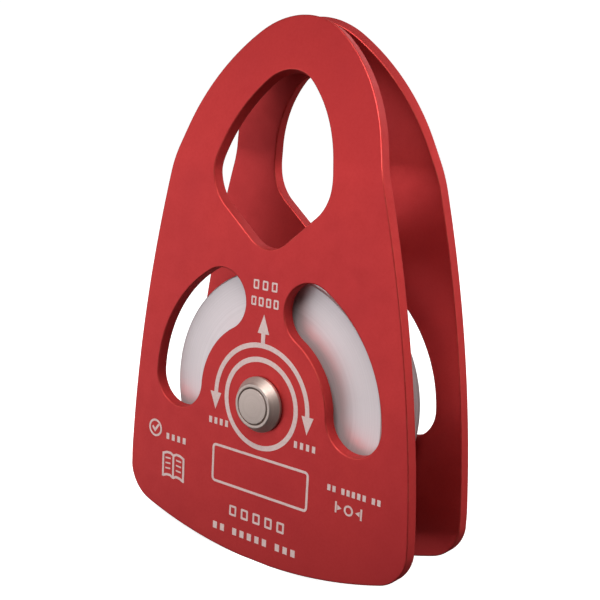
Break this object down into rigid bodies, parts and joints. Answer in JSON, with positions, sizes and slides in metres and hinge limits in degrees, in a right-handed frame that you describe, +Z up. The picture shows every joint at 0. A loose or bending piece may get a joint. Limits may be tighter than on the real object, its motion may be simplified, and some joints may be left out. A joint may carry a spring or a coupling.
{
  "type": "rope pulley",
  "caption": "Large rope pulley with bent swinging side plates, a shared carabiner eye, curved windows and a grooved alloy sheave on ball bearings.",
  "frame": {"origin": "centre of the sheave, on the axle's centre line, halfway between the plates", "axes": "+Z up from the axle to the carabiner eye, +Y along the axle towards the rear plate, +X to the right seen from the front"},
  "size_m": [0.1034, 0.0378, 0.1548],
  "materials": {
    "plate_anodised": "red anodised, satin",
    "sheave_alloy": "turned, natural",
    "axle_stainless": "turned, satin",
    "bearing_steel": "ground",
    "washer_acetal": "black acetal, turned",
    "cage_nylon": "natural nylon, moulded",
    "seal_rubber": "black, moulded"
  },
  "bodies": {
    "rear_plate": {"rear_side_plate": "plate_anodised"},
    "axle": {"axle_pin": "axle_stainless", "axle_sleeve": "axle_stainless", "front_axle_collar": "axle_stainless", "rear_axle_collar": "axle_stainless", "front_thrust_washer": "washer_acetal", "rear_thrust_washer": "washer_acetal", "front_bearing_inner_race": "bearing_steel", "rear_bearing_inner_race": "bearing_steel"},
    "front_plate": {"front_side_plate": "plate_anodised"},
    "sheave": {"sheave": "sheave_alloy", "bearing_retaining_ring": "bearing_steel", "front_bearing_outer_race": "bearing_steel", "rear_bearing_outer_race": "bearing_steel", "front_bearing_seals": "seal_rubber", "rear_bearing_seals": "seal_rubber"},
    "front_ball_set": {"front_bearing_balls": "bearing_steel", "front_bearing_cage": "cage_nylon"},
    "rear_ball_set": {"rear_bearing_balls": "bearing_steel", "rear_bearing_cage": "cage_nylon"}
  },
  "joints": [
    {"name": "axle_turn", "type": "hinge", "parent": "rear_plate", "child": "axle", "pos_m": [0, 0, 0], "axis": [0, 1, 0], "continuous": true},
    {"name": "front_plate_swing", "type": "hinge", "parent": "axle", "child": "front_plate", "pos_m": [0, 0, 0], "axis": [0, 1, 0], "continuous": true},
    {"name": "sheave_spin", "type": "hinge", "parent": "axle", "child": "sheave", "pos_m": [0, 0, 0], "axis": [0, 1, 0], "continuous": true},
    {"name": "front_ball_set_roll", "type": "hinge", "parent": "axle", "child": "front_ball_set", "pos_m": [0, 0, 0], "axis": [0, 1, 0], "continuous": true},
    {"name": "rear_ball_set_roll", "type": "hinge", "parent": "axle", "child": "rear_ball_set", "pos_m": [0, 0, 0], "axis": [0, 1, 0], "continuous": true}
  ],
  "couplings": [
    {"joint": "front_ball_set_roll", "follows": "sheave_spin", "ratio": 0.5814},
    {"joint": "rear_ball_set_roll", "follows": "sheave_spin", "ratio": 0.5814}
  ]
}
